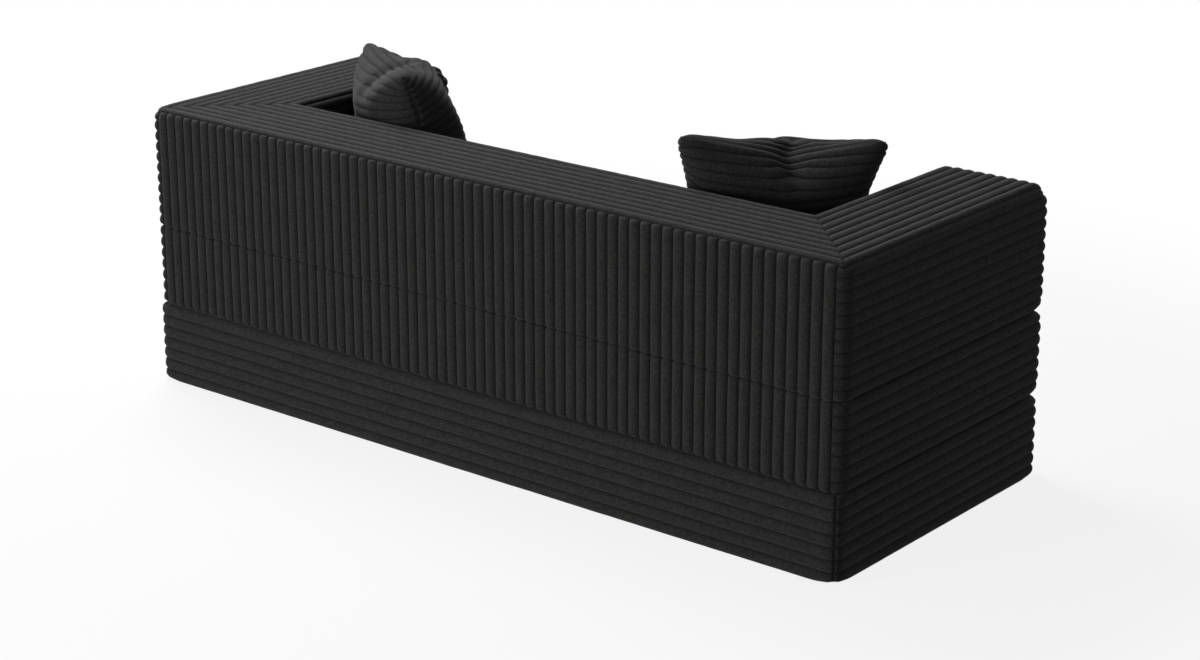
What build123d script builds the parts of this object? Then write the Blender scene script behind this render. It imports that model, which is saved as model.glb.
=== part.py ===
from build123d import *
import os
from math import sqrt

# A folding sofa bed of foam blocks in very wide wale corduroy. A base slab lies on the floor, a seat slab
# lies on it, and a U-shaped surround of a back and two arms stands on the seat. The seat is hinged to the
# base along the front and the surround to the seat along the rear, so the three unfold in a Z.
# Lengths are in millimetres. +X is the sitter's left, +Y is the rear and +Z is up. The origin is on the
# floor at the middle of the base.

# The three tiers
overall_width = 2050
overall_depth = 825
slab_height = 200
surround_height = 300
arm_width = 268
back_thickness = 268
rear_ledge = 8  # the base stands out this far behind the seat
tier_gap = 0.6  # free space between tiers that fold apart

# Corduroy ribs: upright on the rear panel, level everywhere else
upright_wale = 30
level_wale = 27.5
wale_depth = 5.3
crown_shares = (0.28, 0.72)  # where a rib's flat crown starts and ends, across the rib
crown_margin = 1  # an outline stands this far outside ribs that another outline shapes

# Rounded edges of the blocks
tier_radius = 30  # level edges, at the front and round the top
joint_radius = 14  # level edges of the sides, where one tier lies close on another
rear_bevel = 9  # level edges of the rear panel, which runs straight down over the crease
floor_radius = 16
plan_radius = 24  # upright corners
inner_radius = 24  # edges inside the U
arm_front_radius = 58  # the front of each arm, where the top rolls over

# Covers, foam and underside panels
cover_wall = 12  # from the crown of a rib to the foam
foam_bevel_share = 0.4  # of the cover's radius at the same edge
underside_wall = 6
underside_seam = 48  # from a block's side to the seam of its underside panel
underside_recess = 0.5

# Zips across the underside panels
zip_length = 1400
zip_tape_width = 30
zip_tape_wall = 1.2
zip_chain_width = 8
zip_chain_height = 1.8
zip_from_seam = 26
zip_slider_length = 16
zip_slider_width = 11
zip_slider_height = 3.4
zip_tab_length = 30
zip_tab_width = 7
zip_tab_wall = 1.4
zip_hole_length = 4.6  # the hole near the end of the tab
zip_hole_width = 3.5
zip_hole_from_end = 2.4
zip_corner = 2

# Sewn hinge tapes, each in the groove between two tiers
tape_wall = 1.2
tape_clearance = 0.3
tape_depth_share = 0.2  # of the radius or bevel of the edges it lies between

# Throw pillows
pillow_size = 465
pillow_thickness = 205
pillow_edge = 18
pillow_wale = 28
pillow_wale_depth = 5
pillow_wall = 9
pillow_draw_in = 24
pillow_corner = 22  # cut off along each side of a corner
pillow_steps = 8  # flat steps of its swelling, from edge to edge
pillow_swell_share = 1.2  # the side-to-side swell, so that the level section shapes the crown
pillow_zip_length = 300
pillow_zip_wall = 3
pillow_zip_depth = 6
pillow_zip_clearance = 0.3

pillow_clearance = 0.3

# How each pillow leans in its corner: its middle from the inner face of its arm and of the back, then the turn
# about Z, the lean and the turn within its own plane.
right_pillow_from_arm = 227
right_pillow_from_back = 222
right_pillow_turn = (36, -24, 0)
left_pillow_from_arm = 210
left_pillow_from_back = 190
left_pillow_turn = (-33, -24, -4)

overrun = 60  # how far a cutting or crossing shape runs past what it meets

# Places worked out from the sizes
half_width = overall_width / 2
front_y = -overall_depth / 2
base_rear_y = overall_depth / 2
rear_y = base_rear_y - rear_ledge
inner_y = rear_y - back_thickness
arm_inner_x = half_width - arm_width
seat_low = slab_height + tier_gap
seat_top = seat_low + slab_height
surround_low = seat_top + tier_gap
surround_top = surround_low + surround_height
right_pillow_place = (right_pillow_from_arm - arm_inner_x, inner_y - right_pillow_from_back)
left_pillow_place = (arm_inner_x - left_pillow_from_arm, inner_y - left_pillow_from_back)


def ribs_between(start, end, pitch, depth):
    """Corners of flat-crowned ribs from start towards end, standing out to the right of that way."""
    span = end - start
    count = max(1, round(span.length / pitch))
    step = span / count
    outward = Vector(step.Y, -step.X).normalized() * depth
    points = []
    for i in range(count):
        points.append(start + step * i)
        points += [start + step * (i + share) + outward for share in crown_shares]
    return points


def widened(low, high, sides):
    """A rectangle's corners with its bottom, right, top and left sides moved out by the crown margin if true."""
    bottom, right, top, left = [crown_margin if side else 0 for side in sides]
    return (low[0] - left, low[1] - bottom), (high[0] + right, high[1] + top)


def ribbed_face(low, high, pitches):
    """A rectangle whose bottom, right, top and left sides are ribbed, or straight where the pitch is None."""
    bottom, right, top, left = [wale_depth if pitch else 0 for pitch in pitches]
    corners = [
        Vector(low[0] + left, low[1] + bottom),
        Vector(high[0] - right, low[1] + bottom),
        Vector(high[0] - right, high[1] - top),
        Vector(low[0] + left, high[1] - top),
    ]
    points = []
    for corner, following, pitch in zip(corners, corners[1:] + corners[:1], pitches):
        points += ribs_between(corner, following, pitch, wale_depth) if pitch else [corner]
    return Face(Wire.make_polygon(points))


class Bevel(float):
    """A corner cut straight across, by this much along each side."""


def rounded_face(low, high, radii):
    """A rectangle with a radius or bevel of its own at each corner, anticlockwise from the low left one."""
    corners = [Vector(*low), Vector(high[0], low[1]), Vector(*high), Vector(low[0], high[1])]
    starts, middles, ends = [], [], []
    for i, (corner, radius) in enumerate(zip(corners, radii)):
        arriving = (corner - corners[i - 1]).normalized()
        leaving = (corners[(i + 1) % len(corners)] - corner).normalized()
        starts.append(corner - arriving * radius)
        middles.append(corner + (leaving - arriving) * radius * (1 - sqrt(1 / 2)))
        ends.append(corner + leaving * radius)
    edges = []
    for i in range(len(corners)):
        edges.append(Line(ends[i - 1], starts[i]))
        if isinstance(radii[i], Bevel):
            edges.append(Line(starts[i], ends[i]))
        else:
            edges.append(ThreePointArc(starts[i], middles[i], ends[i]))
    return Face(Wire(edges))


def plain_face(low, high):
    """A rectangle between two corners."""
    return Face(Wire.make_polygon([low, (high[0], low[1]), high, (low[0], high[1])]))


def prism_along_y(face):
    return extrude(Plane.XZ * face, amount=overall_depth / 2 + overrun, both=True)


def prism_along_x(face):
    return extrude(Plane.YZ * face, amount=half_width + overrun, both=True)


def prism_up(face, low, high):
    return extrude(Plane.XY.offset(low) * face, amount=high - low)


class Block:
    """A rounded block with ribs, as three outlines: seen from the front, from the side and from above.

    Radii start at an outline's low left corner, and ribs at its bottom side, both anticlockwise.
    """

    axes = ((0, 2), (1, 2), (0, 1))
    # the other outline, and the side of it, that bounds the same face of the block
    same_face = (
        ((1, 0), (2, 1), (1, 2), (2, 3)),
        ((0, 0), (2, 2), (0, 2), (2, 0)),
        ((1, 3), (0, 1), (1, 1), (0, 3)),
    )

    def __init__(
        self, low, high, front_radii, side_radii, plan_radii, front_ribs, side_ribs, plan_ribs, mitred=None
    ):
        self.low, self.high, self.mitred = low, high, mitred
        self.radii = (front_radii, side_radii, plan_radii)
        self.ribs = (front_ribs, side_ribs, plan_ribs)

    def corners(self, first, second, low, high):
        return (low[first], low[second]), (high[first], high[second])

    def cross(self, faces, low, high):
        front, side, plan = faces
        if self.mitred:
            plan = plan & self.mitred
        return prism_along_y(front) & prism_along_x(side) & prism_up(plan, low[2] - overrun, high[2] + overrun)

    def outside(self):
        """The cover's outer surface, to the crowns of its ribs."""
        faces = []
        for axes, radii, ribs, partners in zip(self.axes, self.radii, self.ribs, self.same_face):
            low, high = self.corners(*axes, self.low, self.high)
            elsewhere = [self.ribs[outline][side] for outline, side in partners]
            ribbed = ribbed_face(*widened(low, high, elsewhere), ribs)
            either = [here or there for here, there in zip(ribs, elsewhere)]
            faces.append(ribbed & rounded_face(*widened(low, high, either), radii))
        return self.cross(faces, self.low, self.high)

    def foam(self):
        """The foam block, a cover's wall inside the crowns and an underside panel above the bottom."""
        low = [self.low[0] + cover_wall, self.low[1] + cover_wall, self.low[2] + underside_wall]
        high = [value - cover_wall for value in self.high]
        faces = []
        for axes, radii in zip(self.axes, self.radii):
            cut_back = [Bevel(radius * foam_bevel_share) for radius in radii]
            faces.append(rounded_face(*self.corners(*axes, low, high), cut_back))
        return self.cross(faces, low, high)


def mitre_line():
    """The inner and the outer end of the left rear mitre in plan, each run past its corner."""
    inner, outer = Vector(arm_inner_x, inner_y), Vector(half_width, rear_y)
    past = (outer - inner).normalized() * overrun
    return inner - past, outer + past


def back_wedge():
    """The part of the plan that the back takes, between its two mitres."""
    inner, outer = mitre_line()
    return Face(Wire.make_polygon([
        (-inner.X, inner.Y), (inner.X, inner.Y), (outer.X, outer.Y), (-outer.X, outer.Y),
    ]))


def left_arm_wedge():
    """The part of the plan that the left arm takes, in front of its mitre."""
    inner, outer = mitre_line()
    return Face(Wire.make_polygon([
        (inner.X, inner.Y), (inner.X, front_y - overrun), (outer.X, front_y - overrun), (outer.X, outer.Y),
    ]))


base_block = Block(
    (-half_width, front_y, 0),
    (half_width, base_rear_y, slab_height),
    (floor_radius, floor_radius, joint_radius, joint_radius),
    (floor_radius, floor_radius, Bevel(rear_bevel), tier_radius),
    (plan_radius,) * 4,
    (None, level_wale, None, level_wale),
    (None, level_wale, level_wale, level_wale),
    (None, None, None, None),
)

seat_block = Block(
    (-half_width, front_y, seat_low),
    (half_width, rear_y, seat_top),
    (joint_radius,) * 4,
    (tier_radius, Bevel(rear_bevel), Bevel(rear_bevel), tier_radius),
    (plan_radius,) * 4,
    (None, level_wale, None, level_wale),
    (None, None, level_wale, level_wale),
    (None, None, upright_wale, None),
)

back_block = Block(
    (-half_width, inner_y, surround_low),
    (half_width, rear_y, surround_top),
    (joint_radius, joint_radius, tier_radius, tier_radius),
    (inner_radius, Bevel(rear_bevel), Bevel(rear_bevel), inner_radius),
    (plan_radius,) * 4,
    (None, None, None, None),
    (None, None, level_wale, level_wale),
    (None, None, upright_wale, None),
    back_wedge(),
)

left_arm_block = Block(
    (arm_inner_x, front_y, surround_low),
    (half_width, rear_y, surround_top),
    (inner_radius, joint_radius, tier_radius, inner_radius),
    (tier_radius, Bevel(rear_bevel), Bevel(rear_bevel), arm_front_radius),
    (plan_radius,) * 4,
    (None, level_wale, level_wale, level_wale),
    (None, None, None, level_wale),
    (None, None, None, None),
    left_arm_wedge(),
)


def slab_underside_plan(rear):
    """The underside panel of a slab, seen from above."""
    low = (-half_width + underside_seam, front_y + underside_seam)
    high = (half_width - underside_seam, rear - underside_seam)
    return rounded_face(low, high, (plan_radius,) * 4)


def surround_underside_plan():
    """The U-shaped underside panel of the surround, seen from above."""
    inner_x, outer_x = arm_inner_x + underside_seam, half_width - underside_seam
    outer_y, front = rear_y - underside_seam, front_y + underside_seam
    inner = inner_y + underside_seam
    return Face(Wire.make_polygon([
        (-outer_x, front), (-inner_x, front), (-inner_x, inner), (inner_x, inner),
        (inner_x, front), (outer_x, front), (outer_x, outer_y), (-outer_x, outer_y),
    ]))


def zip_slot_plan(rear):
    """The slot in an underside panel that its zip closes, along the rear."""
    top = rear - underside_seam - zip_from_seam
    return plain_face((-zip_length / 2, top - zip_tape_width), (zip_length / 2, top))


def zip_middle_y(rear):
    return rear - underside_seam - zip_from_seam - zip_tape_width / 2


def underside_panel(plan, rear, bottom):
    """A sewn underside panel with the slot for its zip."""
    panel = prism_up(plan, bottom + underside_recess, bottom + underside_wall)
    return panel - prism_up(zip_slot_plan(rear), bottom - overrun, bottom + overrun)


def zip_tape(rear, bottom):
    """Zip tape against the foam, with the chain of teeth along its middle, short of the slider."""
    tape_top = bottom + underside_wall
    tape_low = tape_top - zip_tape_wall
    tape = prism_up(zip_slot_plan(rear), tape_low, tape_top)
    middle = zip_middle_y(rear)
    chain_plan = plain_face(
        (-zip_length / 2 + zip_chain_width, middle - zip_chain_width / 2),
        (zip_length / 2 - zip_slider_length - zip_chain_width, middle + zip_chain_width / 2),
    )
    return tape + prism_up(chain_plan, tape_low - zip_chain_height, tape_low)


def zip_pull(rear, bottom):
    """The slider at the end of the chain, and its tab laid back along the chain's line."""
    top = bottom + underside_wall - zip_tape_wall
    middle = zip_middle_y(rear)
    end_x = zip_length / 2 - zip_chain_width
    body_plan = rounded_face(
        (end_x - zip_slider_length, middle - zip_slider_width / 2),
        (end_x, middle + zip_slider_width / 2),
        (Bevel(zip_corner),) * 4,
    )
    body = prism_up(body_plan, top - zip_slider_height, top)
    tab_low = top - zip_slider_height
    tab_root = end_x - zip_slider_length / 2
    tab_end = tab_root - zip_tab_length
    tab_plan = rounded_face(
        (tab_end, middle - zip_tab_width / 2), (tab_root, middle + zip_tab_width / 2), (Bevel(zip_corner),) * 4
    )
    hole_plan = plain_face(
        (tab_end + zip_hole_from_end, middle - zip_hole_width / 2),
        (tab_end + zip_hole_from_end + zip_hole_length, middle + zip_hole_width / 2),
    )
    tab = prism_up(tab_plan, tab_low, tab_low + zip_tab_wall)
    tab -= prism_up(hole_plan, tab_low - overrun, tab_low + overrun)
    return body + tab


def slab_nodes(name, block, rear, bottom):
    """Cover, foam, underside panel, zip tape and zip pull of the base or of the seat."""
    plan = slab_underside_plan(rear)
    foam = block.foam()
    opening = prism_up(plan, bottom - overrun, bottom + underside_wall)
    return {
        name + "_cover": block.outside() - foam - opening,
        name + "_foam": foam,
        name + "_underside": underside_panel(plan, rear, bottom),
        name + "_zip": zip_tape(rear, bottom),
        name + "_zip_pull": zip_pull(rear, bottom),
    }


def surround_nodes():
    """The mitred covers and foam blocks of the back and the arms, and what closes them underneath."""
    plan = surround_underside_plan()
    opening = prism_up(plan, surround_low - overrun, surround_low + underside_wall)
    back_foam = back_block.foam()
    arm_foam = left_arm_block.foam()
    arm_cover = left_arm_block.outside() - arm_foam - opening
    return {
        "back_cover": back_block.outside() - back_foam - opening,
        "back_foam": back_foam,
        "left_arm_cover": arm_cover,
        "left_arm_foam": arm_foam,
        "right_arm_cover": mirror(arm_cover, about=Plane.YZ),
        "right_arm_foam": mirror(arm_foam, about=Plane.YZ),
        "surround_underside": underside_panel(plan, rear_y, surround_low),
        "surround_zip": zip_tape(rear_y, surround_low),
        "surround_zip_pull": zip_pull(rear_y, surround_low),
    }


def rounded_groove(depth):
    """Half the height, at a depth, of the groove between two rounded edges."""
    return tier_radius - sqrt(tier_radius**2 - (tier_radius - depth) ** 2)


def bevelled_groove(depth):
    """Half the height, at a depth, of the groove between two bevelled edges."""
    return rear_bevel - depth


def hinge_tape(face_y, inward, gap_low, edge_size, groove):
    """A sewn tape in the groove between two tiers: face_y is the crown of the ribs and inward points in."""
    depth = edge_size * tape_depth_share
    inner_depth = depth + tape_wall
    half_height = groove(inner_depth + crown_margin) - crown_margin + tier_gap / 2 - tape_clearance
    middle_z = gap_low + tier_gap / 2
    near, far = sorted((face_y + inward * depth, face_y + inward * inner_depth))
    section = plain_face((near, middle_z - half_height), (far, middle_z + half_height))
    length = overall_width - 2 * tier_radius
    return extrude(Plane.YZ * section, amount=length / 2, both=True)


def swelling_curve(half_length, half_edge, half_middle):
    """Half the thickness of a cushion at a distance from its middle, on one arc from edge to edge."""
    rise = half_middle - half_edge
    radius = (half_length**2 + rise**2) / (2 * rise)
    return lambda place: half_middle - radius + sqrt(radius**2 - place**2)


def pillow_level_section(half, half_edge, half_middle, depth):
    """The section of a pillow from front to back and bottom to top, with level ribs where depth isn't zero."""
    thick = swelling_curve(half, half_edge, half_middle)
    count = round(2 * half / pillow_wale)
    places = [-half + 2 * half * i / count for i in range(count + 1)]
    points = []
    for side in (1, -1):
        along = places if side > 0 else places[::-1]
        points.append(Vector(side * (thick(along[0]) - depth), along[0]))
        for start, end in zip(along, along[1:]):
            for share in crown_shares:
                crown = start + (end - start) * share
                points.append(Vector(side * thick(crown), crown))
            points.append(Vector(side * (thick(end) - depth), end))
    return Face(Wire.make_polygon(points))


def pillow_swell_section(half, half_edge, half_middle):
    """The smooth section of a pillow, from edge to edge in flat steps."""
    thick = swelling_curve(half, half_edge, half_middle)
    places = [half * (2 * i / pillow_steps - 1) for i in range(pillow_steps + 1)]
    near = [Vector(place, -thick(place)) for place in places]
    return Face(Wire.make_polygon(near + [Vector(point.X, -point.Y) for point in reversed(near)]))


def pillow_outline(half):
    """The pillow seen square on: four sides drawn in between cut corners, in flat steps."""
    corner_start = 1 - pillow_corner / half
    points = []
    for turn in range(4):
        for i in range(pillow_steps // 2 + 1):
            along = corner_start * (4 * i / pillow_steps - 1)
            side = Vector(half * along, pillow_draw_in * (1 - along**2) - half)
            points.append(side.rotate(Axis.Z, 90 * turn))
    return Face(Wire.make_polygon(points))


def pillow_square(half):
    """The pillow's outline carried straight through it from front to back."""
    return extrude(Plane.XZ * pillow_outline(half), amount=pillow_thickness, both=True)


def pillow_seam_bar(half_length, half_wall):
    """A bar along the bottom seam, from below the pillow to its middle."""
    return prism_up(plain_face((-half_length, -half_wall), (half_length, half_wall)), -pillow_size, 0)


def pillow_body(level, half, half_edge, half_middle):
    """A pillow upright with its front towards -Y, from its level section and its outline."""
    swell = pillow_swell_section(half, half_edge, half_middle * pillow_swell_share)
    body = extrude(Plane.YZ * level, pillow_size, both=True)
    body &= extrude(swell, amount=pillow_size, both=True)
    return body & pillow_square(half)


def pillow_outside():
    """A pillow to the crowns of its ribs."""
    sizes = pillow_size / 2, pillow_edge / 2, pillow_thickness / 2
    return pillow_body(pillow_level_section(*sizes, pillow_wale_depth), *sizes)


def pillow_fill():
    """The filling, a wall inside the crowns."""
    sizes = pillow_size / 2 - pillow_wall, (pillow_edge - pillow_wall) / 2, pillow_thickness / 2 - pillow_wall
    return pillow_body(Plane.XY.rotated((0, 0, 90)) * pillow_swell_section(*sizes), *sizes)


def pillow_nodes(name, place, turn):
    """Front and back panels, filling and hidden bottom zip of one pillow, where it lies."""
    outside, fill = pillow_outside(), pillow_fill()
    half = pillow_size / 2
    behind_zip = pillow_square(half - pillow_zip_depth)
    slot = pillow_seam_bar(pillow_zip_length / 2, pillow_zip_wall / 2) - behind_zip
    zip_solid = pillow_square(half - pillow_zip_clearance) - behind_zip
    zip_solid &= pillow_seam_bar(
        pillow_zip_length / 2 - pillow_zip_clearance, pillow_zip_wall / 2 - pillow_zip_clearance
    )
    cover = outside - fill - slot
    rear_half = prism_up(plain_face((-pillow_size, 0), (pillow_size, pillow_size)), -pillow_size, pillow_size)
    spin, lean, tilt = turn
    turned = Rot(Z=spin) * Rot(X=lean) * Rot(Y=tilt)
    lowest = (turned * outside).bounding_box().min.Z
    where = Pos(*place, seat_top + pillow_clearance - lowest) * turned
    return {
        name + "_front": where * (cover - rear_half),
        name + "_back": where * (cover & rear_half),
        name + "_fill": where * fill,
        name + "_zip": where * zip_solid,
    }


def all_nodes():
    nodes = {}
    nodes.update(slab_nodes("base", base_block, base_rear_y, 0))
    nodes.update(slab_nodes("seat", seat_block, rear_y, seat_low))
    nodes.update(surround_nodes())
    nodes["front_hinge_tape"] = hinge_tape(front_y, 1, slab_height, tier_radius, rounded_groove)
    nodes["rear_hinge_tape"] = hinge_tape(rear_y, -1, seat_top, rear_bevel, bevelled_groove)
    nodes.update(pillow_nodes("right_pillow", right_pillow_place, right_pillow_turn))
    nodes.update(pillow_nodes("left_pillow", left_pillow_place, left_pillow_turn))
    return nodes


os.makedirs("parts", exist_ok=True)
for node, shape in all_nodes().items():
    export_step(shape, os.path.join("parts", node + ".step"))
    print(node, "solids", len(shape.solids()))
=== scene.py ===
# %% [markdown]
# # A folding sofa bed in wide-wale corduroy
# The sofa is three blocks of foam in ribbed covers: a base slab, a seat slab and a U-shaped surround of a back
# and two arms, with two throw pillows. The CAD model is loaded first and never moved. It says where every
# piece belongs, and each soft cover below is made to fit its CAD piece and then stands in for it.

# %% Load the CAD frame
import math

import bmesh
import bpy
import numpy as np
from mathutils import Euler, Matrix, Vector


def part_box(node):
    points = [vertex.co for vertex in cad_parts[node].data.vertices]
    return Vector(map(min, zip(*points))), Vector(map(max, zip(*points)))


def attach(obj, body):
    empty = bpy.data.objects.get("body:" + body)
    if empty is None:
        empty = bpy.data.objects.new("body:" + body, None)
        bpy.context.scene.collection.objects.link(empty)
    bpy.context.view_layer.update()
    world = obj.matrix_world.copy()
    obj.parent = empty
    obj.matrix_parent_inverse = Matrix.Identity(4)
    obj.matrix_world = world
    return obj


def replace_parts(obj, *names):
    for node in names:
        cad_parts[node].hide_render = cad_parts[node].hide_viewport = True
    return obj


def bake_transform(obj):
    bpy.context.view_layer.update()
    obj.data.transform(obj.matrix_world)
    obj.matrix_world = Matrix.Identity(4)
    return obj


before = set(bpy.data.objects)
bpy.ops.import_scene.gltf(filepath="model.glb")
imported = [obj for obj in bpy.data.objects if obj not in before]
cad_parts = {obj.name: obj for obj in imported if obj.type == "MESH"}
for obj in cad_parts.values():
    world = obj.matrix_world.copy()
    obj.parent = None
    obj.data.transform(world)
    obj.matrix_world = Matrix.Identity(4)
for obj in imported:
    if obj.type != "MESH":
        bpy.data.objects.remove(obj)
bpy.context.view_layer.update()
mm = 0.001

# %% [markdown]
# ## Camera
# A photograph's viewing angle is found by matching the corners of a box. The camera stands behind the sofa, to
# its right and above it, so that the rear panel, the right side and the tops all show. A long lens keeps the
# upright ribs nearly parallel.

# %% Camera
photo_width = 1200  # pixels
camera_place = Vector((-3.802, 4.6125, 2.2702))
camera_yaw = 0.6806  # radians from looking straight forward, -Y, towards +X
camera_pitch = 0.3278  # radians down
camera_focal_length = 2654.8  # pixels
sensor_width = 36.0

forward = Vector((
    math.sin(camera_yaw) * math.cos(camera_pitch),
    -math.cos(camera_yaw) * math.cos(camera_pitch),
    -math.sin(camera_pitch),
))
camera_data = bpy.data.cameras.new("camera")
camera_data.sensor_width = sensor_width
camera_data.lens = camera_focal_length / photo_width * sensor_width
camera = bpy.data.objects.new("camera", camera_data)
camera.location = camera_place
camera.rotation_euler = forward.to_track_quat("-Z", "Y").to_euler()
bpy.context.scene.collection.objects.link(camera)
bpy.context.scene.camera = camera
print("lens", round(camera_data.lens, 1), "mm")

# %% [markdown]
# ## Helpers for materials
# Colours are written as people read them, as sRGB hex, and turned to the linear values that the renderer
# wants. One function adds any node, with its settings and links, so that a tree reads from top to bottom.

# %% Colour and node helpers
def linear(hex_colour):
    """An sRGB hex colour as linear red, green, blue and alpha."""
    channels = [int(hex_colour[i:i + 2], 16) / 255 for i in (0, 2, 4)]
    return [c / 12.92 if c <= 0.04045 else ((c + 0.055) / 1.055) ** 2.4 for c in channels] + [1.0]


def add(tree, kind, inputs=None, **settings):
    """Adds a node. Each of its inputs, by name or number, gets a value or the socket that feeds it."""
    node = tree.nodes.new(kind)
    for name, value in settings.items():
        setattr(node, name, value)
    for name, value in (inputs or {}).items():
        if isinstance(value, bpy.types.NodeSocket):
            tree.links.new(value, node.inputs[name])
        else:
            node.inputs[name].default_value = value
    return node


def new_material(name):
    """An empty material, its tree and its output node."""
    material = bpy.data.materials.new(name)
    material.use_nodes = True
    material.node_tree.nodes.clear()
    return material, material.node_tree, add(material.node_tree, "ShaderNodeOutputMaterial")


# %% [markdown]
# ## Helpers for pieces
# Every piece starts as a mesh in the scene. Geometry Nodes and other modifiers are then turned into plain mesh,
# and a soft piece takes the place of its CAD piece, on the same body.

# %% Piece helpers
facing = {"up": (0, 1, 2, 3), "down": (3, 2, 1, 0), "front": (0, 3, 2, 1), "rear": (1, 2, 3, 0)}


def grid_faces(index, order="up"):
    """The faces between the rows and columns of a grid of point numbers."""
    corners = index[:-1, :-1], index[1:, :-1], index[1:, 1:], index[:-1, 1:]
    return np.stack([corners[i] for i in facing[order]], axis=-1).reshape(-1, 4).tolist()


def in_scene(name, data):
    """A new object in the scene, made of a mesh or other data."""
    piece = bpy.data.objects.new(name, data)
    bpy.context.scene.collection.objects.link(piece)
    return piece


def new_tree(name, inputs):
    """A Geometry Nodes tree that makes a mesh of a mesh and the inputs, and the sockets of what it is given."""
    tree = bpy.data.node_groups.new(name, "GeometryNodeTree")
    for socket, kind in {"Mesh": "Geometry", **inputs}.items():
        tree.interface.new_socket(socket, in_out="INPUT", socket_type="NodeSocket" + kind)
    tree.interface.new_socket("Made", in_out="OUTPUT", socket_type="NodeSocketGeometry")
    return tree, add(tree, "NodeGroupInput").outputs


def finish_tree(tree, geometry, material):
    """Makes the geometry plain mesh of one material, and the tree's result."""
    real = add(tree, "GeometryNodeRealizeInstances", {"Geometry": geometry}).outputs["Geometry"]
    finished = add(tree, "GeometryNodeSetMaterial", {"Geometry": real, "Material": material})
    add(tree, "NodeGroupOutput", {"Made": finished.outputs["Geometry"]})
    return tree


def use_tree(piece, tree, values):
    """Adds a modifier of that tree, with its inputs' values by name."""
    modifier = piece.modifiers.new(tree.name, "NODES")
    modifier.node_group = tree
    for item in tree.interface.items_tree:
        if item.name in values:
            modifier[item.identifier] = values[item.name]


def bake(piece):
    """Turns what the piece's modifiers make into its own plain mesh."""
    baked = bpy.data.meshes.new_from_object(piece.evaluated_get(bpy.context.evaluated_depsgraph_get()))
    piece.modifiers.clear()
    piece.data = baked
    print(piece.name, len(baked.polygons), "faces")


def stand_in(piece, node, body):
    """The piece is soft, and stands in for a CAD piece on that body."""
    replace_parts(piece, node)
    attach(piece, body)


# %% [markdown]
# ## Corduroy
# Wide-wale corduroy is a woven ground with raised bands of cut pile. Pile swallows light, so it has no gloss,
# but its tips catch light at a grazing angle, which sheen gives. The tufts lie a little differently from one
# millimetre to the next, so the colour is speckled. Down into each groove the colour darkens towards a root colour,
# which is partly the darker ground weave and partly painted shade. The height of the pile is stored on the mesh
# when the ribs are made, and read here.

# %% Corduroy material
pile_tip = "2c2c2b"
# the colour deep in a groove: partly the darker ground weave, partly painted shade
root_and_groove_shade = "181818"
tuft_size = 2.2 * mm  # real tufts are under a millimetre, and drawn coarser so that they show
clump_size = 6 * mm  # tufts lean together in clumps
brushed_patch_size = 45 * mm  # where a hand has brushed the pile one way


def corduroy(name, tip, shaded_root):
    material, tree, output = new_material(name)
    place = add(tree, "ShaderNodeTexCoord").outputs["Object"]
    pile = add(tree, "ShaderNodeAttribute", attribute_name="pile").outputs["Fac"]
    tufts = add(tree, "ShaderNodeTexNoise", {
        "Vector": place, "Scale": 1 / tuft_size, "Detail": 3.0, "Roughness": 0.7,
    })
    brushed = add(tree, "ShaderNodeTexNoise", {
        "Vector": place, "Scale": 1 / brushed_patch_size, "Detail": 2.0, "Roughness": 0.5,
    })
    clumps = add(tree, "ShaderNodeTexNoise", {
        "Vector": place, "Scale": 1 / clump_size, "Detail": 2.0, "Roughness": 0.6,
    })
    leaning = add(tree, "ShaderNodeMix", {
        "Factor": 0.5, 2: tufts.outputs["Fac"], 3: clumps.outputs["Fac"]}, data_type="FLOAT")
    speckle = add(tree, "ShaderNodeMapRange", {
        "Value": leaning.outputs[0], "From Min": 0.35, "From Max": 0.65, "To Min": 0.4, "To Max": 1.6,
    })
    patches = add(tree, "ShaderNodeMapRange", {
        "Value": brushed.outputs["Fac"], "From Min": 0.3, "From Max": 0.7, "To Min": 0.88, "To Max": 1.1,
    })
    shade = add(tree, "ShaderNodeMath", {
        0: speckle.outputs["Result"], 1: patches.outputs["Result"]}, operation="MULTIPLY")
    # painted shade, partly the darker ground weave: the colour goes from the tip colour down to the root colour in
    # each groove
    depth = add(tree, "ShaderNodeMapRange", {
        "Value": pile, "From Min": 0.1, "From Max": 0.75, "To Min": 0.0, "To Max": 1.0,
    })
    colour = add(tree, "ShaderNodeMix", {
        "Factor": depth.outputs["Result"], 6: linear(shaded_root), 7: linear(tip)}, data_type="RGBA")
    speckled = add(tree, "ShaderNodeVectorMath", {
        0: colour.outputs[2], "Scale": shade.outputs["Value"]}, operation="SCALE")
    bump = add(tree, "ShaderNodeBump", {
        "Strength": 0.9, "Distance": 2.5 * mm, "Height": leaning.outputs[0]})
    surface = add(tree, "ShaderNodeBsdfPrincipled", {
        "Base Color": speckled.outputs["Vector"], "Roughness": 0.95, "Specular IOR Level": 0.2,
        "Sheen Weight": 0.35, "Sheen Roughness": 0.45, "Sheen Tint": linear("9a9a9d"),
        "Normal": bump.outputs["Normal"],
    })
    tree.links.new(surface.outputs["BSDF"], output.inputs["Surface"])
    return material


cover_corduroy = corduroy("wide_wale_corduroy", pile_tip, root_and_groove_shade)
# the pillows' root colour 121212 is also partly the ground weave and partly painted shade in the grooves
pillow_corduroy = corduroy("pillow_corduroy", "2a2a29", "121212")
print("corduroy tufts", tuft_size / mm, "mm")

# %% [markdown]
# ## The rib rule
# Every rib in the sofa follows one rule: an arch from groove to groove, a little slimmer than a half ellipse and
# worn uneven. So one Geometry Nodes tree makes them all. It takes a smooth panel and pushes each point out
# along its normal. The panel carries three attributes: `across` counts ribs from the panel's edge, `ease` is 0
# at a seam and 1 away from it, and `sideways` is the direction in which a rib may wander.

# %% Geometry Nodes tree for the ribs
wale_depth = 7.5 * mm
wale_fullness = 0.8  # the exponent of the arch: 0.5 is a half ellipse, and more is slimmer
wander_distance = 2.0 * mm
wanders_per_metre = 9.0
fluff_height = 1.6 * mm
lumps_per_metre = 38.0


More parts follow.
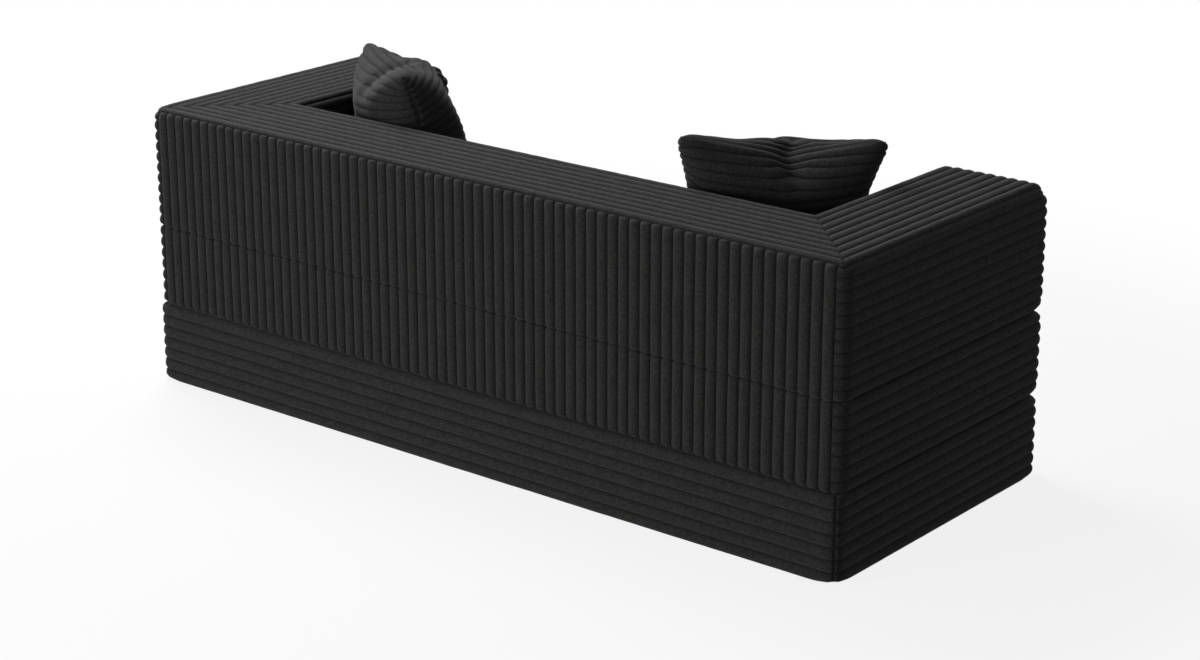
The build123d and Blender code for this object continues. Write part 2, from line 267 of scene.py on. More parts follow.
def rib_tree():
    tree, given = new_tree("corduroy_ribs", {
        "Wale depth": "Float", "Fullness": "Float", "Wander": "Float", "Fluff": "Float", "Seed": "Float",
        "Material": "Material"})
    named = "GeometryNodeInputNamedAttribute"
    across = add(tree, named, {"Name": "across"}, data_type="FLOAT").outputs["Attribute"]
    ease = add(tree, named, {"Name": "ease"}, data_type="FLOAT").outputs["Attribute"]
    sideways = add(tree, named, {"Name": "sideways"}, data_type="FLOAT_VECTOR").outputs["Attribute"]
    # the arch: a power of 1 - x squared, with x from -1 to 1 across a rib
    share = add(tree, "ShaderNodeMath", {0: across}, operation="FRACT").outputs["Value"]
    x = add(tree, "ShaderNodeMath", {0: share, 1: 2.0, 2: -1.0}, operation="MULTIPLY_ADD").outputs["Value"]
    x_squared = add(tree, "ShaderNodeMath", {0: x, 1: x}, operation="MULTIPLY").outputs["Value"]
    rest = add(tree, "ShaderNodeMath", {0: 1.0, 1: x_squared}, operation="SUBTRACT").outputs["Value"]
    bounded = add(tree, "ShaderNodeMath", {0: rest, 1: 0.0}, operation="MAXIMUM").outputs["Value"]
    arch = add(tree, "ShaderNodeMath", {0: bounded, 1: given["Fullness"]}, operation="POWER").outputs["Value"]
    pile = add(tree, "ShaderNodeMath", {0: arch, 1: ease}, operation="MULTIPLY").outputs["Value"]
    place = add(tree, "GeometryNodeInputPosition").outputs["Position"]
    lumps = add(tree, "ShaderNodeTexNoise", {
        "Vector": place, "W": given["Seed"], "Scale": lumps_per_metre, "Detail": 1.0}, noise_dimensions="4D")
    lump = add(tree, "ShaderNodeMath", {0: lumps.outputs["Fac"], 1: 0.5}, operation="SUBTRACT").outputs["Value"]
    fluff = add(tree, "ShaderNodeMath", {0: lump, 1: given["Fluff"]}, operation="MULTIPLY").outputs["Value"]
    eased_fluff = add(tree, "ShaderNodeMath", {0: fluff, 1: pile}, operation="MULTIPLY").outputs["Value"]
    height = add(tree, "ShaderNodeMath", {
        0: pile, 1: given["Wale depth"], 2: eased_fluff}, operation="MULTIPLY_ADD").outputs["Value"]
    normal = add(tree, "GeometryNodeInputNormal").outputs["Normal"]
    out = add(tree, "ShaderNodeVectorMath", {0: normal, "Scale": height}, operation="SCALE").outputs["Vector"]
    drift = add(tree, "ShaderNodeTexNoise", {
        "Vector": place, "W": given["Seed"], "Scale": wanders_per_metre, "Detail": 1.0}, noise_dimensions="4D")
    offset = add(tree, "ShaderNodeMath", {0: drift.outputs["Fac"], 1: 0.5}, operation="SUBTRACT").outputs["Value"]
    wander = add(tree, "ShaderNodeMath", {0: offset, 1: given["Wander"]}, operation="MULTIPLY").outputs["Value"]
    eased_wander = add(tree, "ShaderNodeMath", {0: wander, 1: ease}, operation="MULTIPLY").outputs["Value"]
    aside = add(tree, "ShaderNodeVectorMath", {
        0: sideways, "Scale": eased_wander}, operation="SCALE").outputs["Vector"]
    moved = add(tree, "ShaderNodeVectorMath", {0: out, 1: aside}, operation="ADD").outputs["Vector"]
    stored = add(tree, "GeometryNodeStoreNamedAttribute", {
        "Geometry": given["Mesh"], "Name": "pile", "Value": pile}, data_type="FLOAT", domain="POINT")
    shaped = add(tree, "GeometryNodeSetPosition", {"Geometry": stored.outputs["Geometry"], "Offset": moved})
    return finish_tree(tree, shaped.outputs["Geometry"], given["Material"])


ribs = rib_tree()


def ribbed_piece(name, mesh, material, seed, depth=wale_depth):
    """An object whose smooth panels have become ribbed ones, as plain mesh."""
    piece = in_scene(name, mesh)
    use_tree(piece, ribs, {
        "Wale depth": depth, "Fullness": wale_fullness, "Wander": wander_distance, "Fluff": fluff_height,
        "Seed": float(seed), "Material": material})
    bake(piece)
    piece.data.shade_smooth()
    return piece


# %% [markdown]
# ## A block under its cover
# A cover is cut flat and pulled tight over foam, so its panels are easiest to lay out on a sharp-cornered box.
# `wrap` then moves each point of that box in to where the rounded foam holds the cloth: the point keeps its
# nearest spot on a smaller box inside, and its distance from it becomes the edge radius. The radii differ:
# the fronts are soft, the sides closer, and the edges at the fold, which the rear panel runs over, tight.

# %% Rounded blocks
plan_radius = 24 * mm
change_of_radius = 60 * mm  # how far from a corner one edge radius starts to turn into the next


def smooth_step(value, start, end):
    share = np.clip((value - start) / (end - start), 0, 1)
    return share * share * (3 - 2 * share)


def squares_to_circles(offsets):
    """Offsets from a centre in a plane, drawn in so that squares round the centre become circles."""
    square = np.max(np.abs(offsets), axis=-1, keepdims=True)
    circle = np.maximum(np.linalg.norm(offsets, axis=-1, keepdims=True), 1e-9)
    return offsets * square / circle


class Block:
    """A rounded block between two corners, sunk by a rib's depth on its ribbed sides.

    bottom and top are the radii of the level edges there, at the sides, the front and the rear. A block that
    carries another isn't sunk at the top, so that the joint round it stays closed. loose_corners is how much
    larger the radii at the bottom and the top become towards the corners, where the cover isn't filled."""

    def __init__(self, low, high, bottom, top, carries=False, loose_corners=(0.0, 0.0)):
        self.low = np.array(low) + wale_depth * np.array((1, 1, 0))
        self.high = np.array(high) - wale_depth * np.array((1, 1, 0 if carries else 1))
        self.bottom, self.top, self.loose_corners = bottom, top, loose_corners
        self.centre = (self.low + self.high) / 2

    def radii(self, points):
        """The edge radius along each axis at each point."""
        x, y, z = points[..., 0], points[..., 1], points[..., 2]
        upper = z > self.centre[2]
        side, front, rear = (np.where(upper, top, bottom) for bottom, top in zip(self.bottom, self.top))
        to_front = 1 - smooth_step(y - self.low[1], 0, change_of_radius)
        to_rear = 1 - smooth_step(self.high[1] - y, 0, change_of_radius)
        to_side = np.minimum(x - self.low[0], self.high[0] - x)
        to_corner = np.hypot(to_side, np.minimum(y - self.low[1], self.high[1] - y))
        to_side = 1 - smooth_step(to_side, plan_radius, plan_radius + change_of_radius)
        level = side + (front - side) * to_front + (rear - side) * to_rear
        near_corner = 1 - smooth_step(to_corner, 0, change_of_radius)
        level = level + np.where(upper, self.loose_corners[1], self.loose_corners[0]) * near_corner
        x_radius = level + (plan_radius - level) * np.maximum(to_front, to_rear)
        near = np.where(y > self.centre[1], rear, front)
        y_radius = near + (plan_radius - near) * to_side
        return np.stack([x_radius, y_radius, level], axis=-1)

    def wrap(self, points):
        """Where the points of the sharp box come to lie on the rounded block."""
        radii = self.radii(points)
        core = np.clip(points, self.low + radii, self.high - radii)
        reach = points - core
        length = np.linalg.norm(reach / radii, axis=-1, keepdims=True)
        return core + reach / np.maximum(length, 1)


# %% [markdown]
# ## Panels
# A panel is a grid: one direction runs across the ribs and the other along them. Across, the points gather at
# the grooves, where the surface turns most. Along, they gather at the ends, where each rib rounds down to its
# seam. A panel's last row turns in under its neighbour, as a seam allowance does, so that no gap can show.

# %% Panel grids
points_per_rib = 8
step_along = 9 * mm
seam_allowance = 5 * mm


def across_ribs(count):
    """Places across a number of ribs, counted in ribs."""
    turns = np.arange(points_per_rib) / points_per_rib
    within = (1 - np.cos(np.pi * turns)) / 2
    return np.append((np.arange(count)[:, None] + within).ravel(), count)


def along_ribs(length, start_rounding, end_rounding, corners=(), step=step_along):
    """Places along a rib, closer together where it rounds down at its ends, and at any corners it passes."""
    gathered = np.array([0, 0.06, 0.18, 0.35, 0.6, 1])
    stops = [0, *corners, length]
    places = [np.linspace(a, b, max(2, round((b - a) / step) + 1)) for a, b in zip(stops, stops[1:])]
    places += [gathered * start_rounding, length - gathered * end_rounding]
    return np.unique(np.round(np.concatenate(places), 6))


def rise(distance, rounding):
    """How far a rib has risen at a distance from its end: a quarter circle of that rounding."""
    share = np.clip(distance / max(rounding, 1e-6), 0, 1)
    return np.sqrt(1 - (1 - share) ** 2)


def ends_ease(places, start_rounding, end_rounding, start_hold=0.0, end_hold=0.0):
    """The ease along a rib. Hold is the height that it keeps at an end that is only pinched."""
    start = start_hold + (1 - start_hold) * rise(places - places[0], start_rounding)
    end = end_hold + (1 - end_hold) * rise(places[-1] - places, end_rounding)
    return np.minimum(start, end)


def path_points(corners, places):
    """Points at distances along straight runs between corners."""
    corners = np.array(corners, float)
    marks = np.concatenate([[0], np.cumsum(np.linalg.norm(np.diff(corners, axis=0), axis=1))])
    return np.stack([np.interp(places, marks, corners[:, axis]) for axis in range(corners.shape[1])], axis=-1)


def rim_of(shape):
    """Which points of a grid lie on its rim."""
    rim = np.ones(shape, bool)
    rim[1:-1, 1:-1] = False
    return rim


def unit(vectors):
    return vectors / np.maximum(np.linalg.norm(vectors, axis=-1, keepdims=True), 1e-12)


class Panel:
    """A grid of points with the ribs' count and ease at each: rows run across the ribs, columns along them."""

    def __init__(self, points, across, ease, centre):
        across = np.broadcast_to(np.reshape(across, (-1, 1)) if np.ndim(across) == 1 else across, ease.shape)
        down, along = np.gradient(points, axis=(0, 1))
        normals = np.cross(down, along)
        inside_out = np.sum(normals * (points - centre)) <= 0
        if inside_out:
            points, across, ease = points[:, ::-1], across[:, ::-1], ease[:, ::-1]
            down, normals = down[:, ::-1], -normals[:, ::-1]
        self.points, normals, self.sideways = (
            np.pad(grid, ((1, 1), (1, 1), (0, 0)), mode="edge") for grid in (points, unit(normals), unit(down)))
        self.across = np.pad(across, 1, mode="edge")
        self.ease = np.pad(ease, 1, constant_values=0)
        rim = rim_of(self.ease.shape)
        self.points[rim] -= normals[rim] * seam_allowance


def panels_mesh(name, panels, mirrored=False):
    """One mesh of several panels, with the attributes that the ribs need."""
    points, faces, first = [], [], 0
    for panel in panels:
        rows, columns = panel.ease.shape
        index = first + np.arange(rows * columns).reshape(rows, columns)
        faces += grid_faces(index, "down" if mirrored else "up")
        points.append(panel.points.reshape(-1, 3))
        first += rows * columns
    points = np.concatenate(points)
    sideways = np.concatenate([panel.sideways.reshape(-1, 3) for panel in panels])
    if mirrored:
        points, sideways = points * (-1, 1, 1), sideways * (-1, 1, 1)
    mesh = bpy.data.meshes.new(name)
    mesh.from_pydata(points.tolist(), [], faces)
    for attribute in ("across", "ease"):
        values = np.concatenate([getattr(panel, attribute).ravel() for panel in panels])
        mesh.attributes.new(attribute, "FLOAT", "POINT").data.foreach_set("value", values.astype(np.float32))
    mesh.attributes.new("sideways", "FLOAT_VECTOR", "POINT").data.foreach_set(
        "vector", sideways.astype(np.float32).ravel())
    return mesh


# %% [markdown]
# ## Bands and tops
# Each block wears a band round its sides, with level ribs, and a top. The band starts as a flat lip under the
# block, turns up round the bottom edge and ends at the top edge, where the top's own ribs start.

# %% Band and top panels
lip_width = 48 * mm
lip_rows = 5
level_wale = 27.5 * mm
corner_rounding = 10 * mm
top_seam = 4 * mm
band_height = 0.85  # of a full rib, because a band is pulled tighter round its corners


def band(block, corners, rib_count, ends=(corner_rounding, corner_rounding), reshape=None):
    """A panel of level ribs along plan corners, from a lip under the block up to its top edge."""
    runs = [math.dist(a, b) for a, b in zip(corners, corners[1:])]
    places = along_ribs(sum(runs), *ends, corners=np.cumsum(runs)[:-1])
    plan = path_points(corners, places)
    counted = across_ribs(rib_count)
    levels = block.low[2] + (block.high[2] - block.low[2]) * counted / rib_count
    inner = np.clip(plan, block.low[:2] + lip_width, block.high[:2] - lip_width)
    shares = np.linspace(0, 1, lip_rows, endpoint=False)[:, None, None]
    lip = inner[None] + (plan - inner)[None] * shares
    lip = np.concatenate([lip, np.full(lip.shape[:2] + (1,), block.low[2])], axis=-1)
    face = np.empty((len(levels), len(places), 3))
    face[..., :2], face[..., 2] = plan[None], levels[:, None]
    points = block.wrap(np.concatenate([lip, face]))
    across = np.concatenate([np.zeros(lip_rows), counted])
    ease = np.tile(ends_ease(places, *ends), (len(across), 1)) * band_height
    if reshape:
        points, across, ease = reshape(points, across, ease)
    return Panel(points, across, ease, block.centre)


def level_count(block):
    return round((block.high[2] - block.low[2]) / level_wale)


def top(block, across_axis, start, end, count, step, run, seam=top_seam):
    """Points, rib counts and ease over the top. Ribs lie side by side from start to end along one axis, and run
    gives both ends of each."""
    counted = across_ribs(count)
    across = start + (end - start) * counted / count
    first, last = run(across)
    length = float(np.mean(last - first))
    places = along_ribs(length, seam, seam, step=step)
    along = first[:, None] + (last - first)[:, None] * places[None] / length
    points = np.empty(along.shape + (3,))
    points[..., across_axis] = across[:, None]
    points[..., 1 - across_axis] = along
    points[..., 2] = block.high[2]
    ease = np.tile(ends_ease(places, seam, seam), (len(counted), 1))
    return points, counted, ease


# %% [markdown]
# ## The base
# The base lies on the floor. Its four bands meet at upright corner seams, where the ends of the ribs from both
# sides round in and leave a zigzag line. Its top is ribbed as well, because it is half of the bed when the
# seat folds away.

# %% Base cover
step_on_hidden_tops = 18 * mm
rim_width = 34 * mm  # the level rim on which the next block rests, inside which a top's ribs rise
base_low, base_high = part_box("base_cover")
joint_radius = 10 * mm  # at the sides, where two blocks meet
front_radius = 33 * mm
floor_radius = 9 * mm
loose_corner = 14 * mm
base_block = Block(
    base_low, base_high, (floor_radius,) * 3, (joint_radius, front_radius, joint_radius),
    carries=True, loose_corners=(loose_corner, 0.0),
)


def rectangle(block):
    """The block's plan corners, anticlockwise from the front left of the page."""
    (x0, y0), (x1, y1) = block.low[:2], block.high[:2]
    return [(x0, y0), (x1, y0), (x1, y1), (x0, y1)]


def slab_top(block):
    """Ribs along X over the whole of a slab's top. They rise out of a hollow inside the level rim."""
    start, end = block.low[1], block.high[1]
    edges = lambda across: (np.full_like(across, block.low[0]), np.full_like(across, block.high[0]))
    count = round((end - start) / level_wale)
    points, across, ease = top(block, 1, start, end, count, step_on_hidden_tops, edges, seam=rim_width)
    to_edge = np.min(np.concatenate([points - block.low, block.high - points], axis=-1)[..., [0, 1, 3, 4]], axis=-1)
    hollow = smooth_step(to_edge, 0, rim_width)
    points = block.wrap(points)
    points[..., 2] -= wale_depth * hollow
    return Panel(points, across, ease * hollow, block.centre)


corners = rectangle(base_block)
base_panels = [
    band(base_block, [a, b], level_count(base_block)) for a, b in zip(corners, corners[1:] + corners[:1])
]
base_panels.append(slab_top(base_block))
base_piece = ribbed_piece("base_corduroy", panels_mesh("base_corduroy", base_panels), cover_corduroy, 1)
stand_in(base_piece, "base_cover", "base")

# %% [markdown]
# ## The seat
# One long band of level ribs goes round the seat's sides and front. At the rear it wraps a rib's width round
# each corner and stops there in a row of teeth, against a panel of upright ribs. Those ribs have round lower
# ends over the dark joint to the base. Their upper ends are only pinched, because the same ribs run on
# through the fold into the surround.

# %% Seat cover
fold_radius = 8 * mm
wrap_round = 22 * mm
upright_wale = 29.4 * mm
rib_end_rounding = 13 * mm
fold_rounding = 9 * mm
fold_hold = 0.05
tooth_rounding = 19 * mm  # the ends of the ribs that stop beside the upright panel
rear_lip_columns = 60

seat_low, seat_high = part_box("seat_cover")
seat_block = Block(
    seat_low, seat_high, (joint_radius, front_radius, joint_radius), (joint_radius, front_radius, fold_radius),
    carries=True,
)


def upright_panel(block, lower, upper):
    """The rear panel of upright ribs. lower and upper are each end's rounding and hold."""
    start, end = block.low[0] + wrap_round, block.high[0] - wrap_round
    count = round((end - start) / upright_wale)
    counted = across_ribs(count)
    x = start + (end - start) * counted / count
    places = along_ribs(block.high[2] - block.low[2], lower[0], upper[0])
    points = np.empty((len(x), len(places), 3))
    points[..., 0], points[..., 1], points[..., 2] = x[:, None], block.high[1], block.low[2] + places
    ease = np.tile(ends_ease(places, lower[0], upper[0], lower[1], upper[1]), (len(x), 1))
    return Panel(block.wrap(points), counted, ease, block.centre)


def rear_lip(block):
    """The plain strip under a block between its rear panel and its underside cloth."""
    shares = np.linspace(0, 1, lip_rows)[:, None]
    half = block.high[0] - lip_width * (1 - shares)
    x = half * np.linspace(-1, 1, rear_lip_columns)
    y = np.broadcast_to(block.high[1] - lip_width * (1 - shares), x.shape)
    points = block.wrap(np.stack([x, y, np.full_like(x, block.low[2])], axis=-1))
    return Panel(points, np.zeros(x.shape), np.zeros(x.shape), block.centre)


(x0, y0), (x1, y1) = seat_block.low[:2], seat_block.high[:2]
round_the_seat = [(x1 - wrap_round, y1), (x1, y1), (x1, y0), (x0, y0), (x0, y1), (x0 + wrap_round, y1)]
seat_panels = [
    band(seat_block, round_the_seat, level_count(seat_block), ends=(tooth_rounding, tooth_rounding)),
    upright_panel(seat_block, (rib_end_rounding, 0.0), (fold_rounding, fold_hold)),
    rear_lip(seat_block),
    slab_top(seat_block),
]
seat_piece = ribbed_piece("seat_corduroy", panels_mesh("seat_corduroy", seat_panels), cover_corduroy, 2)
stand_in(seat_piece, "seat_cover", "seat")

# %% [markdown]
# ## The arms
# An arm's band starts as teeth at the rear corner, runs along the outer side, round the front and back along
# the inner face. The ribs on the arm's top run from front to rear and end at a mitre with the back's. At the
# front the top rolls over on a large radius, which cuts across the band's level ribs.

# %% Arm covers
roll_radius = 58 * mm
roll_seam = 7 * mm
roll_start = 2 * mm  # how far the roll has dropped the cover where a rib is fully cut
inner_corner_rounding = 4 * mm
arm_low, arm_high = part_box("left_arm_cover")
back_low, back_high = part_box("back_cover")
arm_edge_radius = 20 * mm
rear_edge_radius = 13 * mm
surround_top = (arm_edge_radius, arm_edge_radius, rear_edge_radius)
loose_top_corners = (0.0, loose_corner)
arm_block = Block(
    (arm_low[0], arm_low[1], back_low[2]), (arm_high[0], back_high[1], back_high[2]),
    (joint_radius, front_radius, fold_radius), surround_top, loose_corners=loose_top_corners,
)
back_block = Block(
    (-arm_high[0], back_low[1], back_low[2]), (arm_high[0], back_high[1], back_high[2]),
    (joint_radius, joint_radius, fold_radius), surround_top, loose_corners=loose_top_corners,
)
inner_y = back_block.low[1]
inner_x = arm_block.low[0]


def roll_over(points):
    """Rounds the front top corner of an arm: squares about the roll's centre become circles."""
    centre = (arm_block.low[1] + roll_radius, arm_block.high[2] - roll_radius)
    from_centre = points[..., 1:] - centre
    in_corner = (from_centre[..., :1] < 0) & (from_centre[..., 1:] > 0)
    rolled = points.copy()
    rolled[..., 1:] = centre + np.where(in_corner, squares_to_circles(from_centre), from_centre)
    return rolled


def cut_by_roll(points, across, ease):
    """Ribs of the band stay level where the roll cuts across them."""
    rolled = roll_over(points)
    dropped = points[..., 2] - rolled[..., 2]
    pitch = (arm_block.high[2] - arm_block.low[2]) / across[-1]
    from_edge = (across[-1] - across)[:, None] * pitch
    near_cut = np.clip(dropped / roll_start, 0, 1)
    ease = ease * (1 - near_cut * (1 - rise(from_edge, roll_seam)))
    return rolled, across[:, None] - dropped / pitch, ease


def arm_top():
    """Ribs from the front to the mitre, over an arm's top."""
    start, end = arm_block.low[0], arm_block.high[0]
    count = round((end - start) / level_wale)
    run = lambda x: (np.full_like(x, arm_block.low[1]), inner_y + (x - inner_x))
    points, across, ease = top(arm_block, 0, start, end, count, step_along, run)
    wrapped = arm_block.wrap(points)
    near_inner = points[..., 0] < arm_block.low[0] + plan_radius
    front = arm_block.low[1]
    length, wrapped_length = (inner_y + grid[..., 0] - inner_x - front for grid in (points, wrapped))
    reach = front + (wrapped[..., 1] - front) * wrapped_length / length
    wrapped[..., 1] = np.where(near_inner, reach, wrapped[..., 1])
    return Panel(roll_over(wrapped), across, ease, arm_block.centre)


round_the_arm = [
    (arm_block.high[0] - wrap_round, arm_block.high[1]), (arm_block.high[0], arm_block.high[1]),
    (arm_block.high[0], arm_block.low[1]), (inner_x, arm_block.low[1]), (inner_x, inner_y),
]
arm_panels = [
    band(arm_block, round_the_arm, level_count(arm_block), (tooth_rounding, inner_corner_rounding), cut_by_roll),
    arm_top(),
]
for side, mirrored, seed in (("left", False, 3), ("right", True, 4)):
    name = side + "_arm_corduroy"
    piece = ribbed_piece(name, panels_mesh(name, arm_panels, mirrored), cover_corduroy, seed)
    stand_in(piece, side + "_arm_cover", "surround")

# %% [markdown]
# ## The back
# The back carries the rear panel of upright ribs over its whole width, a top between the two mitres and an
# inner face between the arms. Its upright ribs start pinched at the fold, in line with the seat's, and end
# round at the top seam.

# %% Back cover
def back_top():
    """Ribs along X from mitre to mitre, over the back's top."""
    start, end = back_block.low[1], back_block.high[1]
    count = round((end - start) / level_wale)
    run = lambda y: (-(inner_x + y - inner_y), inner_x + y - inner_y)
    points, across, ease = top(back_block, 1, start, end, count, step_along, run)
    wrapped = back_block.wrap(points)
    near_inner = points[..., 1] < back_block.low[1] + plan_radius
    reach = (inner_x + wrapped[..., 1] - inner_y) / (inner_x + points[..., 1] - inner_y)
    wrapped[..., 0] = np.where(near_inner, wrapped[..., 0] * reach, wrapped[..., 0])
    return Panel(wrapped, across, ease, back_block.centre)


back_panels = [
    upright_panel(back_block, (fold_rounding, fold_hold), (rib_end_rounding, 0.0)),
    rear_lip(back_block),
    back_top(),
    band(back_block, [(-inner_x, inner_y), (inner_x, inner_y)], level_count(back_block),
         (inner_corner_rounding, inner_corner_rounding)),
]
back_piece = ribbed_piece("back_corduroy", panels_mesh("back_corduroy", back_panels), cover_corduroy, 5)
stand_in(back_piece, "back_cover", "surround")

# %% [markdown]
# ## Underside cloth, zips and hinges
# The undersides are closed with a dark non-slip cloth: a tight plain weave with small rubber dots. The zips
# have a herringbone tape and a painted zinc slider. These pieces keep their CAD shapes and only need their
# finish. The same cell makes the materials of the foam, the fibre and the moulded teeth, which come after it.

# %% Finishes of the pieces that keep their CAD shape
dot_spacing = 9 * mm
weave_spacing = 1.6 * mm  # real threads are 0.4 mm, and drawn coarser so that they show
wave_radians = 6.283  # a wave texture's scale counts radians
orange_peel_size = 0.9 * mm


def non_slip_cloth():
    material, tree, output = new_material("non_slip_cloth")
    place = add(tree, "ShaderNodeTexCoord").outputs["Object"]
    cells = add(tree, "ShaderNodeTexVoronoi", {"Vector": place, "Scale": 1 / dot_spacing, "Randomness": 0.0})
    dots = add(tree, "ShaderNodeMapRange", {
        "Value": cells.outputs["Distance"], "From Min": 0.22, "From Max": 0.28, "To Min": 1.0, "To Max": 0.0})
    weave = add(tree, "ShaderNodeTexChecker", {"Vector": place, "Scale": 1 / weave_spacing})
    colour = add(tree, "ShaderNodeMix", {
        "Factor": dots.outputs["Result"], 6: linear("232325"), 7: linear("111112")}, data_type="RGBA")
    height = add(tree, "ShaderNodeMath", {
        0: weave.outputs["Fac"], 1: 0.3, 2: dots.outputs["Result"]}, operation="MULTIPLY_ADD")
    bump = add(tree, "ShaderNodeBump", {"Strength": 0.6, "Distance": 0.5 * mm, "Height": height.outputs["Value"]})
    surface = add(tree, "ShaderNodeBsdfPrincipled", {
        "Base Color": colour.outputs[2], "Roughness": 0.8, "Specular IOR Level": 0.35,
        "Sheen Weight": 0.15, "Normal": bump.outputs["Normal"]})
    tree.links.new(surface.outputs["BSDF"], output.inputs["Surface"])
    return material


def patterned(name, colour, kind, pattern, output_name, bump, surface, shades=None, **settings):
    """A material whose one pattern roughens its surface: bump is its strength and distance. With shades, the
    pattern's first range of values also darkens and lightens the colour by the second range."""
    material, tree, output = new_material(name)
    place = add(tree, "ShaderNodeTexCoord").outputs["Object"]
    height = add(tree, kind, {"Vector": place, **pattern}, **settings).outputs[output_name]
    rough = add(tree, "ShaderNodeBump", {"Strength": bump[0], "Distance": bump[1], "Height": height})
    base = linear(colour)
    if shades:
        (value_min, value_max), (shade_min, shade_max) = shades
        tone = add(tree, "ShaderNodeMapRange", {
            "Value": height, "From Min": value_min, "From Max": value_max, "To Min": shade_min, "To Max": shade_max})
        toned = add(tree, "ShaderNodeVectorMath", {0: base[:3], "Scale": tone.outputs["Result"]}, operation="SCALE")
        base = toned.outputs["Vector"]
    shader = add(tree, "ShaderNodeBsdfPrincipled", {"Base Color": base, "Normal": rough.outputs["Normal"], **surface})
    tree.links.new(shader.outputs["BSDF"], output.inputs["Surface"])
    return material


def webbing(name, colour, spacing):
    """Woven tape: fine ridges along its length, which runs in X."""
    return patterned(
        name, colour, "ShaderNodeTexWave", {"Scale": 1 / spacing / wave_radians, "Distortion": 1.5}, "Fac",
        (0.5, 0.3 * mm), {"Roughness": 0.75, "Specular IOR Level": 0.35}, ((0.0, 1.0), (0.7, 1.25)),
        bands_direction="DIAGONAL")


def smooth_black(name, colour, roughness, coat):
    """Painted zinc or moulded nylon: a smooth skin with a faint orange peel."""
    return patterned(
        name, colour, "ShaderNodeTexNoise", {"Scale": 1 / orange_peel_size, "Detail": 1.0}, "Fac", (0.15, 0.1 * mm),
        {"Roughness": roughness, "Coat Weight": coat, "Coat Roughness": 0.2})


def cut_foam(name, colour, cell):
    """Cut polyurethane foam or fibre: pale, matt and finely pitted."""
    return patterned(
        name, colour, "ShaderNodeTexVoronoi", {"Scale": 1 / cell}, "Distance", (0.6, 0.8 * mm),
        {"Roughness": 0.95, "Specular IOR Level": 0.2}, ((0.0, 0.8), (0.8, 1.05)))


fibre = cut_foam("fibre_fill", "e6e4de", 6 * mm)
foam = cut_foam("cut_foam", "d9d2bd", 2.5 * mm)
nylon = smooth_black("moulded_nylon", "121213", 0.4, 0.2)
finishes = {
    "underside": non_slip_cloth(),
    "hinge_tape": webbing("hinge_webbing", "151516", 1.2 * mm),
    "zip": webbing("zip_tape", "161617", 0.8 * mm),
    "zip_pull": smooth_black("painted_zinc", "1a1a1c", 0.35, 0.4),
}
for node_name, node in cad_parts.items():
    ending = next((e for e in sorted(finishes, key=len, reverse=True) if node_name.endswith(e)), None)
    if ending:
        node.data.materials.clear()
        node.data.materials.append(finishes[ending])
print("finishes on CAD pieces:", sorted(finishes))

# %% [markdown]
# ## The foam blocks
# Foam is cut with a wire into plain blocks. Under a tight cover its corners are squeezed round, more than the
# cover's own, so each block here is a box whose points are wrapped on large radii. The back's and the arms'
# blocks meet at the mitres.

# %% Foam blocks
foam_edge = 34 * mm
foam_step = 60 * mm
weld_distance = 0.01 * mm


def foam_block(name, node, body, cover, plan_of, reshape=None, mirrored=False):
    """A closed box of foam inside a cover's block. plan_of gives the four plan corners of the space inside."""
    underside = np.array((0, 0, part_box(node)[0][2] - cover.low[2]))
    inside = Block(cover.low + underside, cover.high, (foam_edge,) * 3, (foam_edge,) * 3)
    a, b, c, d = (np.array(corner) for corner in plan_of(inside))
    spans = inside.high - inside.low
    shares = [along_ribs(span, foam_edge, foam_edge, step=foam_step) / span for span in spans]

    def face(u, v, w):
        u, v, w = (share[..., None] for share in np.broadcast_arrays(u, v, w))
        plan = (a + (b - a) * u) * (1 - v) + (d + (c - d) * u) * v
        points = inside.wrap(np.concatenate([plan, inside.low[2] + spans[2] * w], axis=-1))
        return reshape(points) if reshape else points

    across, along, up = shares
    points, faces = [], []
    for grid in (
        *(face(across[:, None], along[None], end) for end in (0, 1)),
        *(face(across[:, None], end, up[None]) for end in (0, 1)),
        *(face(end, along[:, None], up[None]) for end in (0, 1)),
    ):
        faces += grid_faces(len(points) + np.arange(grid.shape[0] * grid.shape[1]).reshape(grid.shape[:2]))
        points += grid.reshape(-1, 3).tolist()
    mesh = bpy.data.meshes.new(name)
    mesh.from_pydata((np.array(points) * (-1 if mirrored else 1, 1, 1)).tolist(), [], faces)
    welded = bmesh.new()
    welded.from_mesh(mesh)
    bmesh.ops.remove_doubles(welded, verts=welded.verts, dist=weld_distance)
    bmesh.ops.recalc_face_normals(welded, faces=welded.faces)
    welded.to_mesh(mesh)
    welded.free()
    mesh.materials.append(foam)
    mesh.shade_smooth()
    stand_in(in_scene(name, mesh), node, body)
    print(name, len(mesh.polygons), "faces")


def back_plan(inside):
    """The back's foam in plan, between its mitres."""
    (_, y0), (x1, y1) = inside.low[:2], inside.high[:2]
    inner = x1 - (y1 - y0)
    return [(-inner, y0), (inner, y0), (x1, y1), (-x1, y1)]


def arm_plan(inside):
    """An arm's foam in plan, up to its mitre."""
    (x0, y0), (x1, y1) = inside.low[:2], inside.high[:2]
    return [(x0, y0), (x1, y0), (x1, y1), (x0, y1 - (x1 - x0))]


foam_block("base_foam_block", "base_foam", "base", base_block, rectangle)
foam_block("seat_foam_block", "seat_foam", "seat", seat_block, rectangle)
foam_block("back_foam_block", "back_foam", "surround", back_block, back_plan)
foam_block("left_arm_foam_block", "left_arm_foam", "surround", arm_block, arm_plan, roll_over)
foam_block("right_arm_foam_block", "right_arm_foam", "surround", arm_block, arm_plan, roll_over, mirrored=True)
